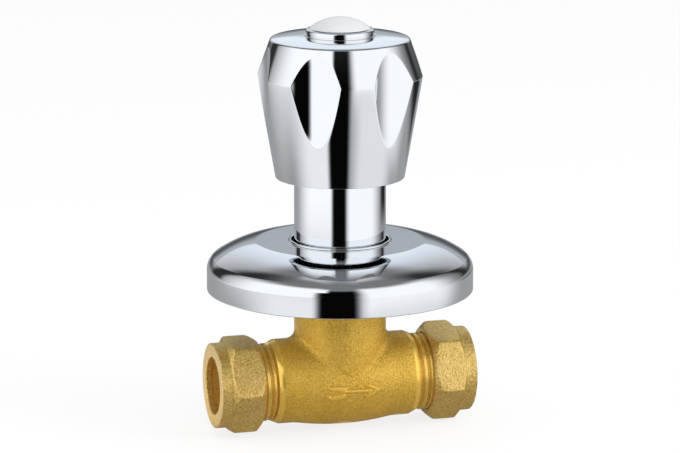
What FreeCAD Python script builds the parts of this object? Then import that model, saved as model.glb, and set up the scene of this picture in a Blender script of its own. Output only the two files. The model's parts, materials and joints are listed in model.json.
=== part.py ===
import FreeCAD
import Part
import math
import os

Vector = FreeCAD.Vector

# Screw-down isolating valve for a concealed pipe, closed, in millimetres.
# Heights are measured up the spindle from the pipe axis; X runs along the pipe with the flow.
# The finished pieces are shifted so that the wall face is at Z = 0.

# Pipe ends
pipe_r = 7.5
pipe_clearance = 0.1
waterway_r = 6.25
waterway_length = 2.5
socket_depth = 9.5
thread_r = 10.4
thread_depth = 0.75
thread_clearance = 0.1
thread_end_chamfer = 0.6
body_length = 55.0

# Body casting
barrel_r = 11.35
belly_r = 12.6
belly_length = 30.0
belly_flare = 3.0
barrel_length = 36.0
shoulder_length = 1.6
shoulder_drop = 0.7
body_wall = 2.3
neck_r = 12.3
neck_height = 28.0
neck_fillet = 2.5

# Seat and waterway inside the casting
seat_r = 6.0
seat_lip_width = 1.2
seat_lip_height = 0.6
chamber_r = 9.0
chamber_floor = 2.4
partition = 2.9
under_seat_r = 7.2
passage_r = 4.4
passage_length = 7.5
passage_step = 0.4

# Headwork bonnet
head_thread_r = 10.0
head_thread_depth = 10.5
head_thread_clearance = 0.05
bonnet_washer_thick = 1.0
bonnet_washer_r = 12.1
bonnet_flange_r = 12.0
bonnet_flange_thick = 2.5
bonnet_hex_flats = 17.0
bonnet_hex_height = 6.0
bonnet_waist_r = 8.2
bonnet_waist_height = 2.5
bonnet_boss_r = 7.6
bonnet_boss_height = 4.0

# Gland
packing_r = 6.0
packing_clearance = 0.1
packing_washer_thick = 0.6
packing_height = 3.6
gland_thread_depth = 3.8
gland_hex_flats = 14.0
gland_hex_height = 4.5

# Spindle and jumper
lift = 6.0
end_play = 0.15
over_travel = 0.5
spindle_thread_r = 6.0
spindle_thread_length = 15.1
spindle_r = 4.0
spindle_clearance = 0.15
spline_teeth = 20
spline_depth = 0.4
spline_length = 10.0
spline_clearance = 0.05
jumper_plate_r = 7.8
jumper_plate_thick = 2.2
jumper_stem_r = 3.2
jumper_stem_length = 8.8
jumper_stud_r = 2.0
jumper_stud_spare = 0.8
seat_washer_r = 7.6
seat_washer_thick = 3.0
seat_washer_gap = 0.05
washer_nut_flats = 7.0
washer_nut_thick = 2.4
stud_clearance = 0.05

# Cover sleeve
sleeve_r = 12.25
sleeve_wall = 1.25
sleeve_overlap = 11.0
sleeve_thread_length = 6.0
sleeve_edge = 0.4

# Wall flange
wall_depth = 24.5
flange_r = 35.6
flange_wall = 1.2
flange_rim_height = 5.9
flange_shoulder_r = 34.1
flange_shoulder_height = 8.7
flange_shoulder_bulge = 0.3
flange_land_r = 22.5
flange_height = 13.2
flange_dome_bulge = 0.75
flange_hole_r = 12.95
flange_bead_width = 0.7
flange_bead_height = 0.5
collar_wall = 2.7
collar_depth = 4.0
grip_ring_height = 2.0
grip_ring_lip = 0.9
grip_ring_clearance = 0.2
grip_ring_play = 0.05
grip_ring_crown = 0.4

# Handle
handle_height = 55.0
handle_foot_r = 17.2
handle_ridge_r = 22.0
handle_ridge_rise = 27.4
handle_crown_r = 18.5
handle_crown_rise = 37.2
handle_dome_rise = 0.8
handle_crown_round = 0.6
handle_wall = 1.7
handle_roof = 5.5
flute_count = 6
flute_r = 14.0
flute_floor_r = 19.1
flute_phase = -3.6
handle_boss_r = 7.0
bush_r = 5.4
bush_clearance = 0.02
index_r = 9.1
index_clearance = 0.05
index_recess = 3.0
index_band = 1.7
index_shoulder = 0.7
index_dome = 3.15
index_wall = 1.2
screw_r = 2.0
screw_clearance = 0.15
screw_head_r = 3.7
screw_head_height = 2.8
screw_floor = 2.2
screw_recess = 5.5
screw_length = 12.0
screw_slot_width = 1.0
screw_slot_depth = 1.2
head_recess_clearance = 0.6

# Compression nuts and olives
nut_flats = 23.5
nut_length = 12.0
nut_collar_r = 11.4
nut_collar_length = 3.0
nut_collar_edge = 0.35
nut_cove_length = 1.4
nut_chamfer_length = 1.8
nut_inner_r = 11.5
nut_hole_clearance = 0.15
nut_lip = 1.6
nut_reach = 7.8
inlet_nut_turn = 28.0
outlet_nut_turn = -17.5
olive_clearance = 0.12
olive_wall = 1.35
olive_taper = 1.5
olive_taper_drop = 1.15
olive_seat_gap = 0.1
olive_length = 4.6
mouth_clearance = 0.28

# Worked out from the sizes above
socket_r = pipe_r + pipe_clearance
thread_core_r = thread_r - thread_depth
nut_bore_r = thread_r + thread_clearance
nut_hole_r = pipe_r + nut_hole_clearance
olive_bore_r = pipe_r + olive_clearance
olive_r = olive_bore_r + olive_wall
olive_end_r = olive_r - olive_taper_drop
taper_slope = olive_taper_drop / olive_taper
spigot_end = body_length / 2
nut_face = spigot_end + nut_reach
barrel_end = barrel_length / 2
shoulder_end = barrel_end + shoulder_length
socket_stop = spigot_end - socket_depth
waterway_end = socket_stop - waterway_length
seat_top = chamber_floor + seat_lip_height
chamber_top = neck_height - head_thread_depth
partition_under = chamber_floor - partition
bonnet_seat = neck_height + bonnet_washer_thick
sleeve_seat = bonnet_seat + bonnet_flange_thick
sleeve_thread_top = sleeve_seat + sleeve_thread_length
sleeve_bore_r = sleeve_r - sleeve_wall
sleeve_top = handle_height + sleeve_overlap
washer_bottom = seat_top + seat_washer_gap
plate_bottom = washer_bottom + seat_washer_thick
plate_top = plate_bottom + jumper_plate_thick
stem_top = plate_top + jumper_stem_length
nut_seat = washer_bottom - washer_nut_thick
spindle_bottom = plate_top + end_play
spindle_thread_top = spindle_bottom + spindle_thread_length
thread_bore_top = spindle_thread_top + lift + over_travel
spindle_bore_r = spindle_r + spindle_clearance
hex_bottom = sleeve_thread_top + bonnet_waist_height
hex_top = hex_bottom + bonnet_hex_height
boss_top = hex_top + bonnet_boss_height
packing_top = boss_top - gland_thread_depth
packing_bottom = packing_top - packing_height
gland_floor = packing_bottom - packing_washer_thick
gland_top = boss_top + gland_hex_height
handle_ridge = handle_height + handle_ridge_rise
handle_crown = handle_height + handle_crown_rise
handle_top = handle_crown + handle_dome_rise
index_floor = handle_top - index_recess
screw_seat = index_floor - screw_recess
spindle_top = screw_seat - screw_floor - end_play
spline_bottom = spindle_top - spline_length
handle_ceiling = handle_top - handle_roof
flange_land = wall_depth + flange_height
hole_wall_r = flange_hole_r + collar_wall


def along_x(radius, start, end):
    return Part.makeCylinder(radius, end - start, Vector(start, 0, 0), Vector(1, 0, 0))


def along_z(radius, bottom, top):
    return Part.makeCylinder(radius, top - bottom, Vector(0, 0, bottom))


def tube(outer, inner, bottom, top):
    return along_z(outer, bottom, top).cut(along_z(inner, bottom, top))


def hex_along_z(flats, bottom, top):
    corner = flats / math.sqrt(3)
    angles = [math.radians(60 * k) for k in range(7)]
    points = [Vector(corner * math.cos(a), corner * math.sin(a), bottom) for a in angles]
    return Part.Face(Part.makePolygon(points)).extrude(Vector(0, 0, top - bottom))


def outline_face(start, *steps):
    # Closed section in the XZ plane. A step is a point (r, z) for a straight run,
    # or a point and a bulge for an arc that stands that far to the left of its chord.
    edges = []
    here = Vector(start[0], 0, start[1])
    for step in steps + (start,):
        there = Vector(step[0], 0, step[1])
        if len(step) == 3:
            chord = there - here
            left = Vector(-chord.z, 0, chord.x).normalize()
            edges.append(Part.Arc(here, (here + there) * 0.5 + left * step[2], there).toShape())
        else:
            edges.append(Part.LineSegment(here, there).toShape())
        here = there
    return Part.Face(Part.Wire(edges))


def turned(start, *steps):
    return outline_face(start, *steps).revolve(Vector(0, 0, 0), Vector(0, 0, 1), 360)


def laid_along_x(shape):
    # Turns a piece made about Z so that its +Z end points along +X
    laid = shape.copy()
    laid.rotate(Vector(0, 0, 0), Vector(0, 1, 0), 90)
    return laid


def circle_wire(radius, x, z):
    return Part.Wire(Part.makeCircle(radius, Vector(x, 0, z), Vector(1, 0, 0)))


def toothed_rod(tip_r, bottom, top):
    # Fine spline: one pointed tooth for each count, its valleys a tooth depth below its tips
    points = []
    for k in range(2 * spline_teeth + 1):
        radius = tip_r if k % 2 == 0 else tip_r - spline_depth
        angle = math.pi * k / spline_teeth
        points.append(Vector(radius * math.cos(angle), radius * math.sin(angle), bottom))
    return Part.Face(Part.makePolygon(points)).extrude(Vector(0, 0, top - bottom))


def casting_outside():
    # Barrel with a round belly under the neck, machined shoulders and thread cores, and the neck
    # blended onto its top. The belly is one arc with a short arc at each end that runs out level.
    belly_end = belly_length / 2
    crown_end = belly_end - belly_flare
    flare_rise = (belly_r - barrel_r) * belly_flare / belly_end
    flare = math.hypot(belly_flare, flare_rise) / 2 * math.tan(math.atan(flare_rise / belly_flare) / 2)
    tip = thread_core_r - thread_end_chamfer
    barrel = laid_along_x(turned(
        (0, -spigot_end),
        (tip, -spigot_end),
        (thread_core_r, -spigot_end + thread_end_chamfer),
        (thread_core_r, -shoulder_end),
        (barrel_r - shoulder_drop, -shoulder_end),
        (barrel_r, -barrel_end),
        (barrel_r, -belly_end),
        (barrel_r + flare_rise, -crown_end, flare),
        (barrel_r + flare_rise, crown_end, barrel_r + flare_rise - belly_r),
        (barrel_r, belly_end, flare),
        (barrel_r, barrel_end),
        (barrel_r - shoulder_drop, shoulder_end),
        (thread_core_r, shoulder_end),
        (thread_core_r, spigot_end - thread_end_chamfer),
        (tip, spigot_end),
        (0, spigot_end),
    ))
    casting = barrel.fuse(along_z(neck_r, 0, neck_height)).removeSplitter()
    seam = [edge for edge in casting.Edges if on_neck_seam(edge)]
    return casting.makeFillet(neck_fillet, seam)


def on_neck_seam(edge):
    # The seam is where the round neck leaves the barrel: on the neck's radius, below its top
    for fraction in (0.2, 0.5, 0.8):
        first, last = edge.ParameterRange
        point = edge.valueAt(first + fraction * (last - first))
        if abs(math.hypot(point.x, point.y) - neck_r) > 0.01 or point.z > neck_height - neck_fillet:
            return False
    return True


def pipe_socket(side):
    # Pipe socket with its coned mouth for the olive, and the narrower waterway behind the stop
    mouth_r = olive_r - mouth_clearance
    cone_length = (mouth_r - socket_r) / taper_slope
    section = turned(
        (0, waterway_end),
        (waterway_r, waterway_end),
        (waterway_r, socket_stop),
        (socket_r, socket_stop),
        (socket_r, spigot_end - cone_length),
        (mouth_r, spigot_end),
        (0, spigot_end),
    )
    socket = laid_along_x(section)
    if side < 0:
        socket.rotate(Vector(0, 0, 0), Vector(0, 0, 1), 180)
    return socket


def passage(side, height):
    # Slanting duct from the pipe's waterway to the chamber above or below the seat
    end = waterway_end - passage_length
    mouth = circle_wire(waterway_r, waterway_end, 0)
    duct = Part.makeLoft([mouth, circle_wire(passage_r, end, height)], True)
    start = seat_r / 2
    inner = Part.makeCylinder(passage_r, end - start, Vector(start, 0, height), Vector(1, 0, 0))
    duct = duct.fuse(inner)
    if side < 0:
        duct.rotate(Vector(0, 0, 0), Vector(0, 0, 1), 180)
    return duct


def valve_body():
    under_seat = along_z(under_seat_r, -belly_r, partition_under)
    under_seat = under_seat.common(along_x(belly_r - body_wall, -barrel_end, barrel_end))
    chamber = along_z(chamber_r, chamber_floor, chamber_top)
    chamber = chamber.cut(tube(seat_r + seat_lip_width, seat_r, chamber_floor, seat_top))
    hollows = [
        under_seat,
        chamber,
        along_z(seat_r, partition_under - passage_r, seat_top),
        along_z(head_thread_r, chamber_top, neck_height),
        passage(-1, partition_under - passage_step - passage_r),
        passage(1, chamber_floor + passage_step + passage_r),
        pipe_socket(-1),
        pipe_socket(1),
    ]
    body = casting_outside()
    for hollow in hollows:
        body = body.cut(hollow)
    return body


def bonnet_washer():
    return tube(bonnet_washer_r, head_thread_r + head_thread_clearance, neck_height, bonnet_seat)


def bonnet():
    bottom = chamber_top + end_play
    shank = along_z(head_thread_r - head_thread_clearance, bottom, bonnet_seat)
    flange = along_z(bonnet_flange_r, bonnet_seat, sleeve_seat)
    collar = along_z(sleeve_bore_r - thread_clearance, sleeve_seat, sleeve_thread_top)
    waist = along_z(bonnet_waist_r, sleeve_thread_top, hex_bottom)
    head = hex_along_z(bonnet_hex_flats, hex_bottom, hex_top)
    boss = along_z(bonnet_boss_r, hex_top, boss_top)
    solid = shank.fuse([flange, collar, waist, head, boss])
    bore = along_z(spindle_thread_r + spindle_clearance, bottom, thread_bore_top).fuse([
        along_z(spindle_bore_r, bottom, boss_top),
        along_z(packing_r, gland_floor, boss_top),
    ])
    return solid.cut(bore).removeSplitter()


def packing_washer():
    return tube(packing_r - head_thread_clearance, spindle_bore_r, gland_floor, packing_bottom)


def gland_packing():
    inner_r = spindle_r + packing_clearance
    return tube(packing_r - head_thread_clearance, inner_r, packing_bottom, packing_top)


def gland_nut():
    shank = along_z(packing_r - head_thread_clearance, packing_top, boss_top)
    head = hex_along_z(gland_hex_flats, boss_top, gland_top)
    return shank.fuse(head).cut(along_z(spindle_bore_r, packing_top, gland_top)).removeSplitter()


def cover_sleeve():
    return turned(
        (sleeve_bore_r, sleeve_seat),
        (sleeve_r, sleeve_seat),
        (sleeve_r, sleeve_top - sleeve_edge),
        (sleeve_r - sleeve_edge, sleeve_top),
        (sleeve_bore_r, sleeve_top),
    )


def jumper():
    stud_bottom = nut_seat - jumper_stud_spare
    solid = along_z(jumper_plate_r, plate_bottom, plate_top)
    stem = along_z(jumper_stem_r, plate_top, stem_top)
    stud = along_z(jumper_stud_r, stud_bottom, plate_bottom)
    return solid.fuse([stem, stud]).removeSplitter()


def seat_washer():
    return tube(seat_washer_r, jumper_stud_r + stud_clearance, washer_bottom, plate_bottom)


def washer_nut():
    head = hex_along_z(washer_nut_flats, nut_seat, washer_bottom)
    return head.cut(along_z(jumper_stud_r + stud_clearance, nut_seat, washer_bottom))


def spindle():
    stem_bore = along_z(jumper_stem_r + spindle_clearance, spindle_bottom, stem_top + end_play)
    screw_bore = along_z(screw_r + stud_clearance, screw_seat - screw_length - end_play, spindle_top)
    thread = along_z(spindle_thread_r, spindle_bottom, spindle_thread_top)
    shaft = along_z(spindle_r, spindle_thread_top, spline_bottom)
    spline = toothed_rod(spindle_r, spline_bottom, spindle_top)
    return thread.fuse([shaft, spline]).cut(stem_bore.fuse(screw_bore)).removeSplitter()


def handle_outside():
    # Crown turned in three cones, then scalloped by upright round flutes
    crown = turned(
        (0, handle_height),
        (handle_foot_r, handle_height),
        (handle_ridge_r, handle_ridge),
        (handle_crown_r, handle_crown),
        (index_r, handle_top, -handle_dome_rise / 4),
        (0, handle_top),
    )
    rim = [edge for edge in crown.Edges if abs(edge.BoundBox.ZMin - handle_crown) < 0.01
           and abs(edge.BoundBox.ZMax - handle_crown) < 0.01]
    crown = crown.makeFillet(handle_crown_round, rim)
    flute_centre = flute_floor_r + flute_r
    for k in range(flute_count):
        angle = math.radians(flute_phase - 90 + (k + 0.5) * 360 / flute_count)
        place = Vector(flute_centre * math.cos(angle), flute_centre * math.sin(angle), handle_height)
        crown = crown.cut(Part.makeCylinder(flute_r, handle_top - handle_height, place))
    return crown


def handle():
    inner_foot_r = handle_foot_r - handle_wall
    inner_top_r = flute_floor_r - handle_wall
    ceiling_r = handle_crown_r - 2 * handle_wall
    hollow = turned(
        (0, handle_height),
        (inner_foot_r, handle_height),
        (inner_top_r, handle_ridge - handle_wall),
        (ceiling_r, handle_ceiling),
        (0, handle_ceiling),
    )
    boss = along_z(handle_boss_r, spline_bottom, handle_ceiling)
    hollow = hollow.cut(boss)
    bores = along_z(bush_r + bush_clearance, spline_bottom, spindle_top + end_play).fuse([
        along_z(screw_r + screw_clearance, spindle_top, screw_seat),
        along_z(screw_head_r + head_recess_clearance, screw_seat, index_floor),
        along_z(index_r + index_clearance, index_floor, handle_top),
    ])
    return handle_outside().cut(hollow.fuse(bores)).removeSplitter()


def spline_bush():
    # Toothed bush pressed into the handle's boss, which drives the spindle's spline
    teeth = toothed_rod(spindle_r + spline_clearance, spline_bottom, spindle_top)
    return along_z(bush_r, spline_bottom, spindle_top).cut(teeth)


def handle_screw():
    head_top = screw_seat + screw_head_height
    head = along_z(screw_head_r, screw_seat, head_top)
    slot = Part.makeBox(2 * screw_head_r, screw_slot_width, screw_slot_depth,
                        Vector(-screw_head_r, -screw_slot_width / 2, head_top - screw_slot_depth))
    return head.cut(slot).fuse(along_z(screw_r, screw_seat - screw_length, screw_seat)).removeSplitter()


def index_button():
    # Cap with a straight band, a rounded shoulder and a low dome, hollow from below
    band_top = handle_top + index_band
    apex = band_top + index_dome
    dome_r = index_r - index_shoulder
    chord = math.hypot(dome_r, index_dome)
    arc_r = (dome_r ** 2 + index_dome ** 2) / (2 * index_dome)
    bulge = arc_r - math.sqrt(arc_r ** 2 - chord ** 2 / 4)
    inner_r = index_r - index_wall
    return turned(
        (inner_r, index_floor),
        (index_r, index_floor),
        (index_r, band_top - index_shoulder),
        (dome_r, band_top, -index_shoulder / 5),
        (0, apex, -bulge),
        (0, band_top),
        (inner_r, band_top - index_wall),
    )


def wall_flange():
    # Pressed dome of even wall, open at the back, with a thickened collar and a rolled bead at the hole
    skin = dome_section(wall_depth)
    cavity = dome_section(wall_depth - 2 * flange_wall).makeOffset2D(-flange_wall)
    axis = (Vector(0, 0, 0), Vector(0, 0, 1), 360)
    shell = skin.revolve(*axis).cut(cavity.revolve(*axis))
    collar_bottom = flange_land - flange_wall - collar_depth
    bead_top = flange_land + flange_bead_height
    bead = along_z(flange_hole_r + flange_bead_width, flange_land - flange_wall, bead_top)
    collar = along_z(hole_wall_r, collar_bottom, flange_land - flange_wall / 2)
    groove_bottom = collar_bottom + grip_ring_lip
    groove = along_z(groove_r(), groove_bottom, groove_bottom + grip_ring_height)
    hole = along_z(flange_hole_r, wall_depth, bead_top)
    return shell.fuse([bead, collar]).cut(hole.fuse(groove)).removeSplitter()


def groove_r():
    return hole_wall_r - flange_wall


def dome_section(back):
    return outline_face(
        (0, back),
        (flange_r, back),
        (flange_r, wall_depth + flange_rim_height),
        (flange_shoulder_r, wall_depth + flange_shoulder_height, -flange_shoulder_bulge),
        (flange_land_r, flange_land, -flange_dome_bulge),
        (0, flange_land),
    )


def flange_grip_ring():
    bottom = flange_land - flange_wall - collar_depth + grip_ring_lip + grip_ring_play
    top = bottom + grip_ring_height - 2 * grip_ring_play
    inner_r = sleeve_r + grip_ring_clearance
    outer_r = groove_r() - grip_ring_play
    return turned(
        (outer_r, bottom),
        (outer_r, top),
        (inner_r + grip_ring_crown, top),
        (inner_r + grip_ring_crown, bottom, -grip_ring_crown),
    )


def compression_nut(side, turn):
    # Collar, cove and chamfered hexagon, bored for the thread and coned down to the pipe hole
    corner_r = nut_flats / math.sqrt(3)
    inner = nut_face - nut_length
    hex_start = inner + nut_chamfer_length
    cove_start = nut_face - nut_collar_length
    hex_end = cove_start - nut_cove_length
    blank = turned(
        (0, inner),
        (nut_inner_r, inner),
        (corner_r, hex_start),
        (corner_r, hex_end),
        (nut_collar_r, cove_start),
        (nut_collar_r, nut_face - nut_collar_edge),
        (nut_collar_r - nut_collar_edge, nut_face),
        (0, nut_face),
    )
    flats = hex_along_z(nut_flats, inner, cove_start)
    flats = flats.fuse(along_z(nut_collar_r, hex_end, nut_face))
    cone_end = nut_face - nut_lip
    cone_start = cone_end - (nut_bore_r - nut_hole_r) / taper_slope
    bore = turned(
        (0, inner),
        (nut_bore_r, inner),
        (nut_bore_r, cone_start),
        (nut_hole_r, cone_end),
        (nut_hole_r, nut_face),
        (0, nut_face),
    )
    nut = blank.common(flats).cut(bore).removeSplitter()
    nut.rotate(Vector(0, 0, 0), Vector(0, 0, 1), turn)
    return on_pipe(nut, side)


def olive(side):
    # Soft ring, tapered to both ends, seated in the nut's cone
    cone_end = nut_face - nut_lip
    end = cone_end - (olive_end_r - nut_hole_r) / taper_slope - olive_seat_gap
    start = end - olive_length
    ring = turned(
        (olive_bore_r, start),
        (olive_end_r, start),
        (olive_r, start + olive_taper),
        (olive_r, end - olive_taper),
        (olive_end_r, end),
        (olive_bore_r, end),
    )
    return on_pipe(ring, side)


def on_pipe(shape, side):
    placed = laid_along_x(shape)
    if side < 0:
        placed.rotate(Vector(0, 0, 0), Vector(0, 0, 1), 180)
    return placed


pieces = {
    "valve_body": valve_body(),
    "bonnet_washer": bonnet_washer(),
    "bonnet": bonnet(),
    "packing_washer": packing_washer(),
    "gland_packing": gland_packing(),
    "gland_nut": gland_nut(),
    "cover_sleeve": cover_sleeve(),
    "wall_flange": wall_flange(),
    "flange_grip_ring": flange_grip_ring(),
    "jumper": jumper(),
    "seat_washer": seat_washer(),
    "washer_nut": washer_nut(),
    "spindle": spindle(),
    "handle": handle(),
    "spline_bush": spline_bush(),
    "handle_screw": handle_screw(),
    "index_button": index_button(),
    "inlet_olive": olive(-1),
    "inlet_nut": compression_nut(-1, inlet_nut_turn),
    "outlet_olive": olive(1),
    "outlet_nut": compression_nut(1, outlet_nut_turn),
}

os.makedirs("parts", exist_ok=True)
for name, shape in pieces.items():
    shape.translate(Vector(0, 0, -wall_depth))
    shape.exportStep(f"parts/{name}.step")
    print(name, len(shape.Solids), round(shape.Volume, 1), shape.isValid())
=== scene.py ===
import json
import math

import bpy
import numpy as np
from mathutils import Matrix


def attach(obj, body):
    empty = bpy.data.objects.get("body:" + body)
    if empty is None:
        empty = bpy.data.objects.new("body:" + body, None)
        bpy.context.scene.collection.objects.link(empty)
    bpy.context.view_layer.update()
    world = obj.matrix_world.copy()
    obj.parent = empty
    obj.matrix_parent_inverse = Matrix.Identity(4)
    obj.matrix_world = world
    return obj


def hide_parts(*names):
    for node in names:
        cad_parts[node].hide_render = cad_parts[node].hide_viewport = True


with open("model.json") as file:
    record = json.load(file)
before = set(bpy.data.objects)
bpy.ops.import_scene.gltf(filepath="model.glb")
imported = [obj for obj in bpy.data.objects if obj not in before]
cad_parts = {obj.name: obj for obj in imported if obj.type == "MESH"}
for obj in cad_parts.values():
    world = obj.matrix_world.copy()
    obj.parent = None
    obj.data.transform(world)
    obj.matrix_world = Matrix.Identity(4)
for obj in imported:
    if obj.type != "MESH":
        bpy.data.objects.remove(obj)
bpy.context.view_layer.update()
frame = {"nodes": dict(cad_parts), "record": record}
scene = bpy.context.scene
mm = 0.001
pipeHeight = -24.5  # pipe axis below the wall face
print("frame loaded:", len(frame["nodes"]), "nodes")


# a socket with the arithmetic written as Python: sums and products of wires add Math nodes
class Wire:
    def __init__(self, tree, socket=None):
        self.tree = tree
        self.socket = socket

    # any node: its type, its settings, the values or links of its sockets, and the output to go on from
    def node(self, kind, settings={}, sockets={}, out=0):
        made = self.tree.nodes.new(kind)
        for key, value in settings.items():
            setattr(made, key, value)
        for key, value in sockets.items():
            if isinstance(value, Wire):
                self.tree.links.new(value.socket, made.inputs[key])
            else:
                made.inputs[key].default_value = value
        return Wire(self.tree, made.outputs[out] if made.outputs else None)

    # one Math node
    def sums(self, operation, first, second):
        return self.node("ShaderNodeMath", {"operation": operation}, {0: first, 1: second})

    def __add__(self, other):
        return self.sums("ADD", self, other)

    def __radd__(self, other):
        return self.sums("ADD", other, self)

    def __sub__(self, other):
        return self.sums("SUBTRACT", self, other)

    def __rsub__(self, other):
        return self.sums("SUBTRACT", other, self)

    def __mul__(self, other):
        return self.sums("MULTIPLY", self, other)

    def __rmul__(self, other):
        return self.sums("MULTIPLY", other, self)


def newFinish(name):
    # an empty material, and the wire that adds nodes to it
    made = bpy.data.materials.new(name)
    made.use_nodes = True
    made.node_tree.nodes.clear()
    return made, Wire(made.node_tree)


def closeFinish(wire, sockets):
    # the surface shader with these sockets, led to the output
    shader = wire.node("ShaderNodeBsdfPrincipled", {}, sockets)
    wire.node("ShaderNodeOutputMaterial", {}, {"Surface": shader})


def between(wire, amount, dark, light):
    # colour between dark and light, by an amount from 0 to 1; either one may be a wire
    dark, light = (shade if isinstance(shade, Wire) else (*shade, 1) for shade in (dark, light))
    return wire.node("ShaderNodeMix", {"data_type": "RGBA"}, {0: amount, 6: dark, 7: light}, out=2)


def spots(wire, place, scale, detail, rough):
    # noise about 0.5
    sockets = {"Vector": place, "Scale": scale, "Detail": detail, "Roughness": rough}
    return wire.node("ShaderNodeTexNoise", {}, sockets)


def easeStep(wire, value, low, high):
    # 0 below the first value, 1 above the second, eased between them
    settings = {"interpolation_type": "SMOOTHSTEP"}
    return wire.node("ShaderNodeMapRange", settings, {"Value": value, "From Min": low, "From Max": high})


# sand-blasted brass: fine grain in the colour and the surface, over slow patches; a turned band has no grain and
# the arrow's raised tops have little, and both are lighter and smoother; on those tops the lighter colour is
# partly wear, partly a painted highlight
def blastedBrass(name, look):
    made, wire = newFinish(name)
    place = wire.node("ShaderNodeTexCoord", out="Object")
    grain = spots(wire, place, look["grainScale"], detail=2.0, rough=0.6)
    patches = spots(wire, place, look["patchScale"], detail=3.0, rough=0.5)
    # mask of the arrow's raised tops, which lightens them: partly wear, partly a painted highlight
    blasted = 1.0 - wire.node("ShaderNodeAttribute", {"attribute_name": "wearAndSheen"}, out="Fac")
    turnedFrom = look.get("turnedFrom")
    if turnedFrom:
        along = wire.node("ShaderNodeSeparateXYZ", {}, {"Vector": place}, out="X")
        along = wire.sums("ABSOLUTE", along, 0.0)
        turnedFull = turnedFrom + look["turnedSoft"]
        blasted = blasted * (1.0 - easeStep(wire, along, turnedFrom * mm, turnedFull * mm))
    amount = blasted * (look["grainColour"] * (grain - 0.5)) + look["patchColour"] * (patches - 0.5) + 0.5
    rough = look["rough"] + look["roughSpread"] * (grain - 0.5)
    if turnedFrom:
        amount = amount + look["turnedAndSheenLight"] * (1.0 - blasted)
        rough = rough - look["turnedSmooth"] * (1.0 - blasted)
    colour = between(wire, amount, look["dark"], look["light"])
    relief = {"Strength": blasted * look["bump"], "Distance": look["depth"] * mm, "Height": grain}
    bump = wire.node("ShaderNodeBump", {}, relief)
    closeFinish(wire, {"Base Color": colour, "Metallic": look["metal"], "Roughness": rough, "Normal": bump})
    return made


# polished or turned metal: faint clouding of the polish, fine rings where the tool left them, and a mask carried
# by the piece that turns part of it into another finish or into painted shade
def smoothMetal(name, look):
    made, wire = newFinish(name)
    place = wire.node("ShaderNodeTexCoord", out="Object")
    clouds = spots(wire, place, look["cloudScale"], detail=3.0, rough=0.55)
    colour = between(wire, clouds, look["dark"], look["light"])
    rough = look["rough"] + look["roughSpread"] * (clouds - 0.5)
    sockets = {"Base Color": colour, "Metallic": look.get("metal", 1.0), "Roughness": rough}
    if look.get("mask"):
        mask = wire.node("ShaderNodeAttribute", {"attribute_name": look["mask"]}, out="Fac")
        sockets["Base Color"] = between(wire, mask, colour, look["maskColour"])
        sockets["Metallic"] = 1.0 - (1.0 - look["maskMetal"]) * mask
        sockets["Roughness"] = rough + look["maskRough"] * mask
    if look.get("ringScale"):
        settings = {"wave_type": "BANDS", "bands_direction": look["ringAxis"]}
        wave = {"Vector": place, "Scale": look["ringScale"], "Distortion": look["ringWander"], "Detail": 2.0}
        rings = wire.node("ShaderNodeTexWave", settings, wave, out=1)
        relief = {"Strength": look["bump"], "Distance": look["depth"] * mm, "Height": rings}
        sockets["Normal"] = wire.node("ShaderNodeBump", {}, relief)
    closeFinish(wire, sockets)
    return made


# moulded rubber, nylon and packing: plain colour with a faint mottle
mouldedLook = {"roughSpread": 0.15, "bump": 0.2, "depth": 0.03}


def mouldedFinish(name, look):
    made, wire = newFinish(name)
    place = wire.node("ShaderNodeTexCoord", out="Object")
    mottle = spots(wire, place, look["mottleScale"], detail=3.0, rough=0.6)
    colour = between(wire, mottle, look["dark"], look["light"])
    rough = look["rough"] + mouldedLook["roughSpread"] * (mottle - 0.5)
    relief = {"Strength": mouldedLook["bump"], "Distance": mouldedLook["depth"] * mm, "Height": mottle}
    bump = wire.node("ShaderNodeBump", {}, relief)
    closeFinish(wire, {"Base Color": colour, "Roughness": rough, "Normal": bump})
    return made


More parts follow.
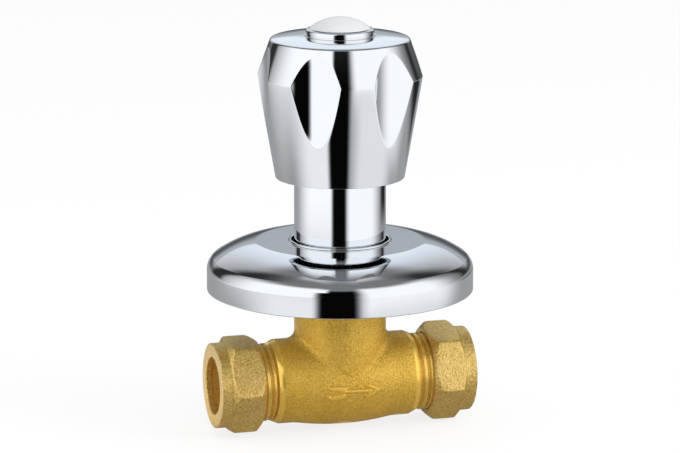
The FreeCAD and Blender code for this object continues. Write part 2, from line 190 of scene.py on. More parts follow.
chromeTones = {"dark": (0.79, 0.82, 0.86), "light": (0.84, 0.87, 0.905)}
finishes = {
    "cast_brass": blastedBrass("castBrass", {
        "dark": (0.55, 0.30, 0.020), "light": (0.98, 0.66, 0.13), "grainScale": 2100.0, "patchScale": 130.0,
        "grainColour": 1.75, "patchColour": 0.4, "rough": 0.36, "roughSpread": 0.25, "bump": 1.0, "depth": 0.26,
        "metal": 0.68, "turnedFrom": 18.0, "turnedSoft": 0.25, "turnedAndSheenLight": 0.42, "turnedSmooth": 0.14}),
    "nut_brass": blastedBrass("nutBrass", {
        "dark": (0.53, 0.305, 0.040), "light": (0.98, 0.75, 0.29), "grainScale": 1900.0, "patchScale": 160.0,
        "grainColour": 1.9, "patchColour": 0.4, "rough": 0.32, "roughSpread": 0.25, "bump": 1.0, "depth": 0.2,
        "metal": 0.8}),
    "turned_brass": smoothMetal("turnedBrass", {
        "dark": (0.74, 0.47, 0.09), "light": (0.92, 0.66, 0.18), "cloudScale": 220.0, "rough": 0.27,
        "roughSpread": 0.1, "metal": 0.75, "ringScale": 900.0, "ringAxis": "Z", "ringWander": 0.6,
        "bump": 0.15, "depth": 0.02}),
    # chrome; its mask paints the handle's hollow near black, a painted shade
    "chrome_plate": smoothMetal("chromePlate", {
        **chromeTones, "cloudScale": 70.0, "rough": 0.045, "roughSpread": 0.03, "mask": "unplated",
        "maskColour": (0.05, 0.05, 0.052), "maskMetal": 0.6, "maskRough": 0.45}),
    "index_cap": smoothMetal("indexCap", {
        **chromeTones, "cloudScale": 90.0, "rough": 0.05, "roughSpread": 0.03, "mask": "inlay",
        "maskColour": (0.62, 0.625, 0.63), "maskMetal": 0.0, "maskRough": 0.3}),
    "screw_steel": smoothMetal("screwSteel", {
        "dark": (0.55, 0.56, 0.58), "light": (0.66, 0.67, 0.68), "cloudScale": 300.0, "rough": 0.28,
        "roughSpread": 0.15}),
    "black_rubber": mouldedFinish("blackRubber", {
        "dark": (0.018, 0.018, 0.018), "light": (0.045, 0.045, 0.045), "mottleScale": 700.0, "rough": 0.6}),
    "washer_nylon": mouldedFinish("washerNylon", {
        "dark": (0.68, 0.65, 0.57), "light": (0.8, 0.77, 0.69), "mottleScale": 350.0, "rough": 0.45}),
    "packing_white": mouldedFinish("packingWhite", {
        "dark": (0.78, 0.78, 0.75), "light": (0.88, 0.88, 0.85), "mottleScale": 900.0, "rough": 0.6}),
}
print("finishes made:", len(finishes))

# every CAD node that stays takes the finish of its slot in the record
for entry in frame["record"]["subparts"]:
    node = frame["nodes"][entry["node"]]
    node.data.materials.clear()
    node.data.materials.append(finishes[entry["material_slot"]])


def gridFaces(rows, columns, joinRows, joinColumns):
    # quads between neighbouring grid points, joined round in the directions that close
    r = np.arange(rows if joinRows else rows - 1)[:, None]
    c = np.arange(columns if joinColumns else columns - 1)[None, :]
    nextR, nextC = (r + 1) % rows, (c + 1) % columns
    corners = [r * columns + c, nextR * columns + c, nextR * columns + nextC, r * columns + nextC]
    return np.stack(corners, -1).reshape(-1, 4)


def makePiece(name, points, faces, normals, body, slotName, stands=None, masks={}):
    # faces are index arrays of three or four corners, turned over together if the volume comes out negative
    points = points.reshape(-1, 3) * mm
    corners = [points[f] for f in faces]
    volume = sum(np.einsum("ij,ij->", c[:, 0], np.cross(c[:, k], c[:, k + 1]))
                 for c in corners for k in range(1, c.shape[1] - 1))
    if volume < 0:
        faces = [f[:, ::-1] for f in faces]
    ends = np.concatenate([np.full(len(f), f.shape[1]) for f in faces]).cumsum()
    loops = np.concatenate([f.reshape(-1) for f in faces])
    mesh = bpy.data.meshes.new(name)
    mesh.vertices.add(len(points))
    mesh.vertices.foreach_set("co", points.astype(np.float32).reshape(-1))
    mesh.loops.add(len(loops))
    mesh.loops.foreach_set("vertex_index", loops.astype(np.int32))
    mesh.polygons.add(len(ends))
    mesh.polygons.foreach_set("loop_start", np.concatenate([[0], ends[:-1]]).astype(np.int32))
    mesh.update(calc_edges=True)
    mesh.shade_smooth()
    if normals is not None:
        mesh.normals_split_custom_set_from_vertices(normals.reshape(-1, 3))
    for key, values in masks.items():
        mask = mesh.attributes.new(key, "FLOAT", "POINT")
        mask.data.foreach_set("value", values.reshape(-1).astype(np.float32))
    piece = bpy.data.objects.new(name, mesh)
    scene.collection.objects.link(piece)
    piece.data.materials.append(finishes[slotName])
    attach(piece, body)
    if stands:
        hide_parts(stands)
    print(" ", name, len(ends), "faces")


def makeRing(name, points, normals, *place):
    # a piece whose grid closes in both directions
    makePiece(name, points, [gridFaces(*points.shape[:2], True, True)], normals, *place)


leastSoft = 1e-6  # a sharp corner keeps a hair of softness, so that its direction is still known
leastStep = 1e-5  # points of a profile that lie closer than this are one
wholeSide = 50.0  # softness longer than any side, so that the curve runs from middle to middle


def softCurve(corners, steps, closed=True):
    # every corner (r, z, softness) gives way to a parabola that leaves its two sides that far from the corner
    c = np.array(corners, float)
    p, reach = c[:, :2], np.maximum(c[:, 2:], leastSoft)
    toLast, toNext = np.roll(p, 1, 0) - p, np.roll(p, -1, 0) - p
    if not closed:
        toLast[0], toNext[-1] = -toNext[0], -toLast[-1]
    leave = p + toLast * np.minimum(reach / np.linalg.norm(toLast, axis=1, keepdims=True), 0.5)
    meet = p + toNext * np.minimum(reach / np.linalg.norm(toNext, axis=1, keepdims=True), 0.5)
    t = np.linspace(0, 1, steps)[None, :, None]
    run = (1 - t) ** 2 * leave[:, None] + 2 * t * (1 - t) * p[:, None] + t ** 2 * meet[:, None]
    slope = (1 - t) * (p - leave)[:, None] + t * (meet - p)[:, None]
    run, slope = run.reshape(-1, 2), slope.reshape(-1, 2)
    if not closed:
        run, slope = run[steps - 1:1 - steps], slope[steps - 1:1 - steps]
    apart = np.linalg.norm(np.roll(run, -1, 0) - run, axis=1) > leastStep
    return run[apart], slope[apart]


def arcCorners(start, end, bulge, count):
    # points on the arc from start to end that stands bulge to the right of its chord, ends left out
    start, end = np.array(start, float), np.array(end, float)
    chord = end - start
    half = np.linalg.norm(chord) / 2
    radius = (half ** 2 + bulge ** 2) / (2 * bulge)
    right = np.array([chord[1], -chord[0]]) / (2 * half)
    centre = (start + end) / 2 - right * (radius - bulge)
    sweep = np.arcsin(half / radius) * np.linspace(-1, 1, count + 2)[1:-1, None]
    points = centre + radius * (np.cos(sweep) * right + np.sin(sweep) * chord / (2 * half))
    return [(*p, wholeSide) for p in points]


def turned(run, slope, angles):
    # profile (r, z) carried round Z; the normals lie to the right of the profile's direction
    cosA, sinA = np.cos(angles)[:, None], np.sin(angles)[:, None]
    out = np.stack([slope[:, 1], -slope[:, 0]], -1)
    out = out / np.linalg.norm(out, axis=1, keepdims=True)
    flat = np.zeros((len(angles), 1))
    points = np.stack([run[:, 0] * cosA, run[:, 0] * sinA, run[:, 1] + flat], -1)
    normals = np.stack([out[:, 0] * cosA, out[:, 0] * sinA, out[:, 1] + flat], -1)
    return points, normals


def shaped(radius, angles, heights):
    # radius(angle, height) about Z, on a grid of angles by heights; the normals follow from its two slopes
    a = angles[:, None] + 0 * heights
    r = radius(a, heights)
    step = 1e-4
    around = (radius(a + step, heights) - radius(a - step, heights)) / (2 * step) / r
    along = (radius(a, heights + step) - radius(a, heights - step)) / (2 * step)
    cosA, sinA = np.cos(a), np.sin(a)
    points = np.stack([r * cosA, r * sinA, heights], -1)
    normals = np.stack([cosA + around * sinA, sinA - around * cosA, -along], -1)
    return points, normals / np.linalg.norm(normals, axis=-1, keepdims=True)


def joined(outer, rest):
    # points and normals of two grids over the same angles, one going on from the other
    return [np.concatenate(pair, 1) for pair in zip(outer, rest)]


def softMin(a, b, soft):
    # the smaller of two, rounded where they are about equal
    return (a + b - np.sqrt((a - b) ** 2 + soft ** 2)) / 2


def softMax(a, b, soft):
    # the larger of two, rounded where they are about equal
    return (a + b + np.sqrt((a - b) ** 2 + soft ** 2)) / 2


def eased(share):
    # 0 to 1, level at both ends
    share = np.clip(share, 0, 1)
    return share * share * (3 - 2 * share)


def spread(knots, counts):
    # values from knot to knot, with the given number of equal steps in each stretch; knots may be whole arrays
    stretches = zip(knots, knots[1:], counts)
    return np.concatenate([a[..., None] + (b - a)[..., None] * (np.arange(n) / n) for a, b, n in stretches], -1)


def evenTurn(count):
    # angles spaced evenly round the axis
    return np.arange(count) * 2 * math.pi / count


fullTurn = evenTurn(240)

# Handle: two cones and a low crown with six upright round flutes, hollow below, with stepped bores for the
# spindle, the screw and the cap
handleLook = {
    "foot": (17.2, 30.5), "ridge": (22.0, 57.9), "crown": (18.5, 67.7), "dome": (9.15, 68.5), "domeBulge": 0.2,
    "crownSoft": 1.1, "crownDepth": 0.9, "boreSoft": 0.35, "crease": 0.06, "edge": 0.25, "seam": 0.05,
    "flutes": 6, "fluteCentre": 33.1, "fluteRadius": 14.0, "lobeAngle": -93.6,
    # half angle of a flute at the ridge, where the grid is finer, and its steps from knot to knot
    "fluteTip": 18.2, "tipBand": 0.9, "creaseBand": 0.4, "columns": (8, 6, 34, 6, 8), "rows": (14, 8, 18, 8, 6),
    "domeSteps": 7,
    "inside": [(9.15, 65.5), (4.3, 65.5), (4.3, 60.0), (2.15, 60.0), (2.15, 57.8), (5.42, 57.8), (5.42, 47.65),
               (7.0, 47.65), (7.0, 63.0), (15.1, 63.0), (17.4, 56.2), (15.5, 30.5)],
    "footLead": (0.05, 0.04), "shadeRecess": 1.0, "shadeFoot": (0.1, 0.6),
}


def fluteRadius(angle):
    # distance from the axis to the near wall of the closest flute; beyond its reach, a value that never wins
    look = handleLook
    sector = 2 * math.pi / look["flutes"]
    away = (angle - math.radians(look["lobeAngle"])) % sector - sector / 2
    under = look["fluteRadius"] ** 2 - (look["fluteCentre"] * np.sin(away)) ** 2
    return look["fluteCentre"] * np.cos(away) - np.sqrt(np.maximum(under, 0.0))


def handleRadius(angle, height):
    # the smaller of the two cones, or the flute's wall where that is smaller still
    (footR, footZ), (ridgeR, ridgeZ), (crownR, crownZ) = (handleLook[k] for k in ("foot", "ridge", "crown"))
    lower = footR + (ridgeR - footR) * (height - footZ) / (ridgeZ - footZ)
    upper = ridgeR + (crownR - ridgeR) * (height - ridgeZ) / (crownZ - ridgeZ)
    cones = softMin(lower, upper, handleLook["crease"])
    return softMin(cones, fluteRadius(angle), handleLook["crease"])


def makeHandle():
    # the outside is a grid of angles by heights, and a profile goes on over the crown and inside down to the foot
    look = handleLook
    (footR, footZ), (ridgeR, ridgeZ), (crownR, crownZ) = look["foot"], look["ridge"], look["crown"]
    edge, depth = look["edge"], look["crownDepth"]
    # columns bunch at the two tips of each flute
    sector, tip, band = 360 / look["flutes"], look["fluteTip"], look["tipBand"]
    knots = np.array([-sector / 2, -tip - band, -tip + band, tip - band, tip + band, sector / 2])
    oneSector = spread(knots, look["columns"])
    starts = look["lobeAngle"] + sector * (np.arange(look["flutes"]) + 0.5)
    angles = np.radians((starts[:, None] + oneSector).reshape(-1))
    # rows bunch at the two heights where each flute meets the cones
    reach = np.minimum(fluteRadius(angles), ridgeR)
    low = footZ + (reach - footR) / (ridgeR - footR) * (ridgeZ - footZ)
    high = ridgeZ + (reach - ridgeR) / (crownR - ridgeR) * (crownZ - ridgeZ)
    band = look["creaseBand"]
    middle, half = (low + high) / 2, np.maximum((high - low) / 2 - band, band / 4)
    level = 0 * angles
    heights = spread([level + footZ + edge + look["seam"], low - band, middle - half, middle + half, high + band,
                      level + crownZ - depth - look["seam"]], look["rows"])
    upperSlope = (crownR - ridgeR) / (crownZ - ridgeZ)
    leadR, leadZ = look["footLead"]
    corners = [(crownR - upperSlope * depth, crownZ - depth, 0.0), (*look["crown"], look["crownSoft"])]
    corners += arcCorners(look["crown"], look["dome"], look["domeBulge"], look["domeSteps"])
    corners += [(*look["dome"], look["boreSoft"])]
    corners += [(*p, edge) for p in look["inside"]]
    corners += [(*look["foot"], edge), (footR + leadR, footZ + edge + leadZ, 0.0)]
    run, slope = softCurve(corners, steps=6, closed=False)
    run, slope = run[:-1], slope[:-1]
    points, normals = joined(shaped(handleRadius, angles, heights), turned(run, slope, angles))
    # painted shade: the hollow inside is near black below the recess for the cap and within the foot
    r, z = run.T
    insideR = np.array(look["inside"])[:, 0]
    footEdgeR, footEdgeZ = look["shadeFoot"]
    inner = (z < look["inside"][0][1] + look["shadeRecess"]) & (r < insideR.max())
    inner = inner & ((z > footZ + footEdgeZ) | (r < insideR[-1] + footEdgeR))
    unplated = np.concatenate([np.zeros(heights.shape[1]), inner]) + 0 * angles[:, None]
    makeRing("crown_handle", points, normals, "spindle_and_handle", "chrome_plate", "handle",
             {"unplated": unplated})


# Pressed flange: rim, rounded shoulder, dome and flat land of even wall, with a collar and a bead at the hole
flangeLook = {
    "rim": 35.6, "rimTop": 5.9, "shoulder": (34.1, 8.7), "shoulderBulge": 0.3, "land": (22.5, 13.2),
    "domeBulge": 0.75, "wall": 1.2, "hole": 12.95, "bead": (13.65, 13.7), "collar": (15.65, 8.0),
    "groove": (14.45, 8.9, 10.9), "underGap": 0.3, "shoulderSteps": 3, "domeSteps": 9,
    "soft": {"rim": 0.3, "rimTop": 0.4, "shoulder": 0.25, "land": 0.5, "beadFoot": 0.25, "bead": 0.3,
             "groove": 0.1, "collar": 0.2, "collarRoot": 0.4},
}


def makeFlange():
    # the outer profile, the hole with its groove and collar, and the inner side, carried round the axis
    look, soft = flangeLook, flangeLook["soft"]
    rim, wall, hole, gap = look["rim"], look["wall"], look["hole"], look["underGap"]
    shoulder, land = look["shoulder"], look["land"]
    rimTop = (rim, look["rimTop"])
    shoulderRun = arcCorners(rimTop, shoulder, look["shoulderBulge"], look["shoulderSteps"])
    domeRun = arcCorners(shoulder, land, look["domeBulge"], look["domeSteps"])
    grooveR, grooveLow, grooveHigh = look["groove"]
    beadR, beadTop = look["bead"]
    collarR, collarLow = look["collar"]
    top = [(*rimTop, soft["rimTop"]), *shoulderRun, (*shoulder, soft["shoulder"]), *domeRun, (*land, soft["land"])]
    # the wall's inner side is the outer side moved square to itself
    run, slope = softCurve([(rim, -wall, 0.0), *top, (hole, land[1], 0.0)], steps=4, closed=False)
    square = np.stack([-slope[:, 1], slope[:, 0]], -1)
    under = run + wall * square / np.linalg.norm(square, axis=1, keepdims=True)
    under = under[(under[:, 1] > gap) & (under[:, 0] > collarR + gap)][::-1]
    corners = [(rim, 0.0, soft["rim"]), *top, (beadR, land[1], soft["beadFoot"])]
    corners += [(r, beadTop, soft["bead"]) for r in (beadR, hole)]
    groove = [(hole, grooveHigh), (grooveR, grooveHigh), (grooveR, grooveLow), (hole, grooveLow)]
    corners += [(*p, soft["groove"]) for p in groove]
    corners += [(r, collarLow, soft["collar"]) for r in (hole, collarR)]
    corners += [(collarR, land[1] - wall, soft["collarRoot"])]
    corners += [(*p, wholeSide) for p in under[::3]]
    corners += [(rim - wall, 0.0, soft["rim"])]
    points, normals = turned(*softCurve(corners, steps=6), fullTurn)
    makeRing("domed_flange", points, normals, "sliding_flange", "chrome_plate", "wall_flange")


# Cover sleeve: a plain tube with eased ends
sleeveLook = {"outer": 12.25, "bore": 11.0, "bottom": 7.0, "top": 41.5, "edge": 0.35}


def makeSleeve():
    # a rectangle with eased corners, carried round the axis
    look = sleeveLook
    ends = [("outer", "bottom"), ("outer", "top"), ("bore", "top"), ("bore", "bottom")]
    corners = [(look[r], look[z], look["edge"]) for r, z in ends]
    points, normals = turned(*softCurve(corners, steps=7), fullTurn)
    makeRing("chrome_sleeve", points, normals, "fixed_valve", "chrome_plate", "cover_sleeve")


# Index cap: a short band and a low dome, hollow below, closed at the axis by two fans
capLook = {
    "radius": 9.1, "bottom": 65.5, "bandTop": 70.2, "shoulder": 0.7, "apex": 73.35, "wall": 1.2, "inlay": 7.9,
    "grooveWidth": 0.13, "grooveDepth": 0.1, "roofEdge": (1.0, 0.15, 0.5), "roofFoot": 0.4, "edge": 0.25,
    "domeFoot": 0.1, "domeStart": 0.01, "domeSteps": 29, "fanRadius": 0.05,
}


def makeCap():
    # a profile from the roof inside, down and round the foot, up the band and over a sphere to the apex
    look = capLook
    radius, shoulder, roof = look["radius"], look["shoulder"], look["bandTop"]
    rim, rise = radius - shoulder, look["apex"] - roof
    sphere = (rim ** 2 + rise ** 2) / (2 * rise)
    bulge = sphere - math.sqrt(sphere ** 2 - (rim ** 2 + rise ** 2) / 4)
    inner = radius - look["wall"]
    roofIn, roofFall, roofSoft = look["roofEdge"]
    corners = [(0.0, roof, 0.0), (inner - roofIn, roof - roofFall, roofSoft),
               (inner, roof - look["wall"], look["roofFoot"]), (inner, look["bottom"], look["edge"]),
               (radius, look["bottom"], look["edge"]), (radius, roof, shoulder), (rim, roof, look["domeFoot"])]
    corners += arcCorners((rim, roof), (0.0, look["apex"]), bulge, look["domeSteps"])
    corners += [(0.0, look["apex"], 0.0)]
    run, slope = softCurve(corners, steps=5, closed=False)
    outside = run[:, 0] > look["fanRadius"]
    run, slope = run[outside], slope[outside]
    # the groove is a bell-shaped dip of the dome's height at the edge of the inlay
    domed = run[:, 1] > roof + look["domeStart"]
    off = (run[:, 0] - look["inlay"]) / look["grooveWidth"]
    dip = np.where(domed, look["grooveDepth"] * np.exp(-off ** 2), 0.0)
    slope[:, 1] += slope[:, 0] * dip * 2 * off / look["grooveWidth"]
    run[:, 1] -= dip
    points, normals = turned(run, slope, fullTurn)
    count, rows = points.shape[:2]
    first = np.arange(count)
    second = (first + 1) % count
    pole = np.full(count, count * rows)
    low = np.stack([pole, second * rows, first * rows], -1)
    high = np.stack([pole + 1, first * rows + rows - 1, second * rows + rows - 1], -1)
    faces = [gridFaces(count, rows, True, False), low, high]
    points = np.concatenate([points.reshape(-1, 3), [[0, 0, roof], [0, 0, look["apex"]]]])
    normals = np.concatenate([normals.reshape(-1, 3), [[0, 0, -1], [0, 0, 1]]])
    # the dome is a pale inlay, the band round it plated
    inlay = np.where(domed, np.clip(0.5 - off, 0, 1), 0.0) + np.zeros((count, 1))
    inlay = np.concatenate([inlay.reshape(-1), [0.0, 1.0]])
    makePiece("index_cap", points, faces, normals, "spindle_and_handle", "index_cap", "index_button",
              {"inlay": inlay})


def onPipe(field, side):
    # from a piece about Z to the pipe axis: Z goes to X, and the inlet's copy is turned half way round
    x, y, z = field[..., 2], field[..., 1], -field[..., 0]
    return np.stack([side * x, side * y, z], -1)


# Compression nut: a hexagon between a chamfered inner end and a round collar, bored and coned inside
nutLook = {
    "flats": 23.5, "cornerSoft": 0.03, "sharp": 1e-4, "length": 12.0, "innerRadius": 11.5, "chamfer": 1.8,
    "coveStart": 7.6, "collarStart": 9.0, "collar": 11.4, "coveSoft": 0.25, "crease": 0.3, "edge": 0.45,
    "hole": 7.65, "holeSoft": 0.4, "coneSoft": (0.2, 0.3), "bore": 10.5, "boreSoft": 0.2, "lip": 1.6,
    "coneSlope": 0.7667, "firstRow": 0.3, "creaseBand": 0.7, "coveBand": 0.6, "lastRow": 0.7,
    "collarLead": (0.02, 0.6), "innerLead": (0.15, 0.26), "columns": 216, "rows": (10, 10, 14, 4),
    "inlet": (35.3, 28.0), "outlet": (35.3, -17.5),  # outer face from the middle, and turn in degrees
}


def nutHex(angle):
    # distance to the flats: half their spacing over the largest cosine, with the corners eased
    away = angle % (math.pi / 3) - math.pi / 6
    widest = softMax(np.cos(away - math.pi / 3), np.cos(away + math.pi / 3), nutLook["sharp"])
    return nutLook["flats"] / 2 / softMax(np.cos(away), widest, nutLook["cornerSoft"])


def nutRadius(angle, along):
    # the smallest of the hexagon, the chamfer's cone and the cove, which falls to the collar and stays there
    look = nutLook
    corner = look["flats"] / math.sqrt(3)
    chamfer = look["innerRadius"] + (corner - look["innerRadius"]) * along / look["chamfer"]
    fall = (along - look["coveStart"]) / (look["collarStart"] - look["coveStart"])
    cove = softMax(corner + (look["collar"] - corner) * fall, look["collar"] + 0 * fall, look["coveSoft"])
    return softMin(softMin(nutHex(angle), chamfer, look["crease"]), cove, look["crease"])


def makeNut(name, face, turn, side, body, node):
    # the outside is a grid of angles by heights, and a profile goes on over the end face and through the bore
    look = nutLook
    corner = look["flats"] / math.sqrt(3)
    angles = evenTurn(look["columns"])
    # rows bunch where the hexagon meets the chamfer and the cove
    hexagon = nutHex(angles)
    chamferEnd = (hexagon - look["innerRadius"]) / (corner - look["innerRadius"]) * look["chamfer"]
    coveRun = (look["collarStart"] - look["coveStart"]) / (corner - look["collar"])
    coveEnd = look["coveStart"] + (corner - hexagon) * coveRun
    level = 0 * angles
    length, hole, bore, band = look["length"], look["hole"], look["bore"], look["creaseBand"]
    heights = spread([level + look["firstRow"], chamferEnd + band, coveEnd - band,
                      level + look["collarStart"] + look["coveBand"], level + length - look["lastRow"]],
                     look["rows"])
    coneEnd = length - look["lip"]
    coneStart = coneEnd - (bore - hole) / look["coneSlope"]
    (collarIn, collarRun), (leadR, leadZ) = look["collarLead"], look["innerLead"]
    collar, inner = look["collar"] - collarIn, look["innerRadius"]
    corners = [(collar, length - collarRun, 0.0), (collar, length, look["edge"]), (hole, length, look["holeSoft"]),
               (hole, coneEnd, look["coneSoft"][0]), (bore, coneStart, look["coneSoft"][1]),
               (bore, 0.0, look["boreSoft"]), (inner, 0.0, look["boreSoft"]), (inner + leadR, leadZ, 0.0)]
    run, slope = softCurve(corners, steps=6, closed=False)
    run, slope = run[:-1], slope[:-1]
    points, normals = joined(shaped(nutRadius, angles, heights), turned(run, slope, angles))
    cosT, sinT = math.cos(math.radians(turn)), math.sin(math.radians(turn))
    turnRound = np.array([[cosT, sinT, 0], [-sinT, cosT, 0], [0, 0, 1]])
    points, normals = points @ turnRound, normals @ turnRound
    points[..., 2] += face - length
    points, normals = onPipe(points, side), onPipe(normals, side)
    points[..., 2] += pipeHeight
    makeRing(name, points, normals, body, "nut_brass", node)


# End thread: a ridge that climbs one pitch a turn over the spigot, fading out at both ends
threadLook = {
    "crest": 10.4, "root": 9.66, "pitch": 1.814, "start": 19.6, "end": 27.5, "inside": 9.3, "fade": 0.9,
    "fullness": 0.8, "steepness": 0.9, "endCut": 0.6, "startSeam": 0.05, "endSeam": 0.02, "insideLead": 0.1,
    "insideSoft": 0.05, "columns": 144, "rows": 110,
}


def threadRadius(angle, along):
    # a clipped and eased triangle wave along the pipe, moved on by the angle, cut down at the outer end
    look = threadLook
    phase = (along / look["pitch"] - angle / (2 * math.pi)) % 1.0
    ridge = eased(look["fullness"] + look["steepness"] * (np.abs(phase - 0.5) * 4 - 1))
    toEnd = look["end"] - along
    fade = np.clip((along - look["start"]) / look["fade"], 0, 1) * np.clip(toEnd / look["fade"], 0, 1)
    cut = look["endCut"] * (1 - np.clip(toEnd / look["endCut"], 0, 1))
    return look["root"] + (look["crest"] - look["root"]) * ridge * fade ** 0.5 - cut


def makeThread(name, side):
    # the ridge on a grid of angles by heights, and a short profile that closes it inside the spigot
    look = threadLook
    angles = evenTurn(look["columns"])
    start, end, inside = look["start"] - look["startSeam"], look["end"] - look["endSeam"], look["inside"]
    heights = np.linspace(start, end, look["rows"])[None, :] + 0 * angles[:, None]
    lead = inside + look["insideLead"]
    corners = [(lead, end, 0.0), (inside, end, look["insideSoft"]), (inside, start, look["insideSoft"]),
               (lead, start, 0.0)]
    rest = turned(*softCurve(corners, steps=3, closed=False), angles)
    points, normals = joined(shaped(threadRadius, angles, heights), rest)
    points, normals = onPipe(points, side), onPipe(normals, side)
    points[..., 2] += pipeHeight
    makeRing(name, points, normals, "fixed_valve", "turned_brass")


# Flow arrow: a low raised sign on the front of the barrel, strokes of rounded section along the pipe
arrowLook = {
    "middle": 0.5, "below": 5.0, "halfLength": 7.6, "halfWidth": 3.0, "rise": 0.75, "sunk": 0.4, "wearAndSheen": 0.8,
    "blend": 6.0, "bank": 0.6, "bed": 0.04, "rows": 190, "columns": 80,
    # from and to, along and across the pipe, and half width
    "strokes": [(-6.3, 1.25, -3.1, 1.0, 0.68), (-6.3, -1.35, -3.1, -1.05, 0.68), (-3.3, 0.35, 4.2, 0.15, 0.45),
                (6.5, 0.1, 3.9, 1.5, 0.48), (6.5, 0.1, 3.5, -1.35, 0.48)],
}
barrelLook = {"belly": 12.6, "barrel": 11.35, "half": 15.0, "flare": 3.0}


def makeArrow():
    # the barrel's own surface, raised by how near each point lies to a stroke, over a sheet sunk in the barrel
    look = arrowLook
    along = np.linspace(-look["halfLength"], look["halfLength"], look["rows"])[:, None]
    across = np.linspace(-look["halfWidth"], look["halfWidth"], look["columns"])[None, :]
    # nearest distance from each point to the strokes, each a line with a half width
    x0, y0, x1, y1, width = np.array(look["strokes"]).T[:, :, None, None]
    share = ((along - x0) * (x1 - x0) + (across - y0) * (y1 - y0)) / ((x1 - x0) ** 2 + (y1 - y0) ** 2)
    share = np.clip(share, 0, 1)
    gap = np.hypot(along - x0 - share * (x1 - x0), across - y0 - share * (y1 - y0)) - width
    near = -np.log(np.exp(-gap * look["blend"]).sum(0)) / look["blend"]
    slope = np.clip(0.5 - near / look["bank"], 0, 1)
    height = look["rise"] * eased(slope)
    x = along + look["middle"] + 0 * across
    # the belly is one arc of radius bow; the arrow ends before the short arcs that level it out
    belly, half, flare = barrelLook["belly"], barrelLook["half"], barrelLook["flare"]
    sag = (belly - barrelLook["barrel"]) * (half - flare) / half
    bow = ((half - flare) ** 2 + sag ** 2) / (2 * sag)
    barrel = belly - bow + np.sqrt(bow ** 2 - x ** 2)
    angle = across / belly - math.radians(look["below"]) + 0 * x

    def sheet(radius):
        return np.stack([x, -radius * np.cos(angle), radius * np.sin(angle) + pipeHeight], -1)

    top, bottom = sheet(barrel - look["bed"] + height), sheet(barrel - look["sunk"])
    points = np.concatenate([top.reshape(-1, 3), bottom.reshape(-1, 3)])
    rows, columns = x.shape
    upper = gridFaces(rows, columns, False, False)
    border = np.concatenate([np.arange(columns), np.arange(1, rows) * columns + columns - 1,
                             (rows - 1) * columns + np.arange(columns - 2, -1, -1),
                             np.arange(rows - 2, 0, -1) * columns])
    onward = np.roll(border, -1)
    total = rows * columns
    wall = np.stack([border, onward, onward + total, border + total], -1)
    faces = [upper, upper[:, ::-1] + total, wall]
    # the raised tops are lighter and smoother: partly wear, partly a painted highlight
    wearAndSheen = np.concatenate([slope.reshape(-1), 0 * slope.reshape(-1)]) * look["wearAndSheen"]
    makePiece("flow_arrow", points, faces, None, "fixed_valve", "cast_brass", masks={"wearAndSheen": wearAndSheen})


print("pieces:")
makeHandle()
makeFlange()
makeSleeve()
makeCap()
for name, side in (("inlet", -1), ("outlet", 1)):
    makeNut(name + "_hex_nut", *nutLook[name], side, name + "_coupling", name + "_nut")
    makeThread(name + "_thread", side)
makeArrow()

# Casting: it keeps its CAD mesh, with its edges welded and eased
castingLook = {"weld": 0.002, "edge": 0.22, "edgeSteps": 2, "edgeAngle": 35.0}
body = frame["nodes"]["valve_body"]
weld = body.modifiers.new("weld", "WELD")
weld.merge_threshold = castingLook["weld"] * mm
ease = body.modifiers.new("ease", "BEVEL")
ease.width = castingLook["edge"] * mm
ease.segments = castingLook["edgeSteps"]
ease.limit_method = "ANGLE"
ease.angle_limit = math.radians(castingLook["edgeAngle"])
ease.harden_normals = True

# Studio: pale floor, white surround, and a tent that only reflections see
studioLook = {
    "azimuth": -16.0, "elevation": 12.4, "distance": 1.0, "target": (0.0, 0.0, 0.0168), "lens": 198.5,
    "sensor": 36.0, "clipStart": 0.05, "daylight": 0.85, "daylightColour": (0.97, 0.98, 1.0, 1),
    "floor": -0.0382, "floorHalf": 3.0, "floorColour": (0.9, 0.9, 0.9, 1), "floorWhite": 0.8,
}
white = (1, 1, 1, 1)


def lightPath(wire):
    # 1 for what the camera, a reflection or a refraction sees directly
    seen = wire.node("ShaderNodeLightPath", out="Is Camera Ray")
    for kind in ("Is Glossy Ray", "Is Transmission Ray"):
        seen = wire.sums("MAXIMUM", seen, wire.node("ShaderNodeLightPath", out=kind))
    return seen


def makeWorld():
    # white for what sees it directly, daylight for all else
    look = studioLook
    world = bpy.data.worlds.new("studio")
    world.use_nodes = True
    world.node_tree.nodes.clear()
    wire = Wire(world.node_tree)
    daylight = {"Color": look["daylightColour"], "Strength": look["daylight"]}
    light = wire.node("ShaderNodeBackground", {}, daylight)
    plain = wire.node("ShaderNodeBackground", {}, {"Color": white, "Strength": 1.0})
    surround = wire.node("ShaderNodeMixShader", {}, {0: lightPath(wire), 1: light, 2: plain})
    wire.node("ShaderNodeOutputWorld", {}, {"Surface": surround})
    scene.world = world


def stageObject(name, points, faces, material):
    # a mesh of the studio, which isn't part of the object
    mesh = bpy.data.meshes.new(name)
    mesh.from_pydata(points.reshape(-1, 3).tolist(), [], faces.tolist())
    made = bpy.data.objects.new(name, mesh)
    scene.collection.objects.link(made)
    mesh.materials.append(material)
    return made


def makeFloor():
    # lit for the light that bounces off it, mostly plain white for what sees it, so that the shadow stays faint
    look = studioLook
    made, wire = newFinish("paleFloor")
    lit = wire.node("ShaderNodeBsdfDiffuse", {}, {"Color": look["floorColour"]})
    plain = wire.node("ShaderNodeEmission", {}, {"Color": white, "Strength": 1.0})
    mixed = wire.node("ShaderNodeMixShader", {}, {0: lightPath(wire) * look["floorWhite"], 1: lit, 2: plain})
    wire.node("ShaderNodeOutputMaterial", {}, {"Surface": mixed})
    made.cycles.emission_sampling = "NONE"
    side = [-look["floorHalf"], look["floorHalf"]]
    grid = np.stack(np.meshgrid(side, side, [look["floor"]], indexing="ij"), -1)
    stageObject("floor", grid, np.array([[0, 2, 3, 1]]), made)


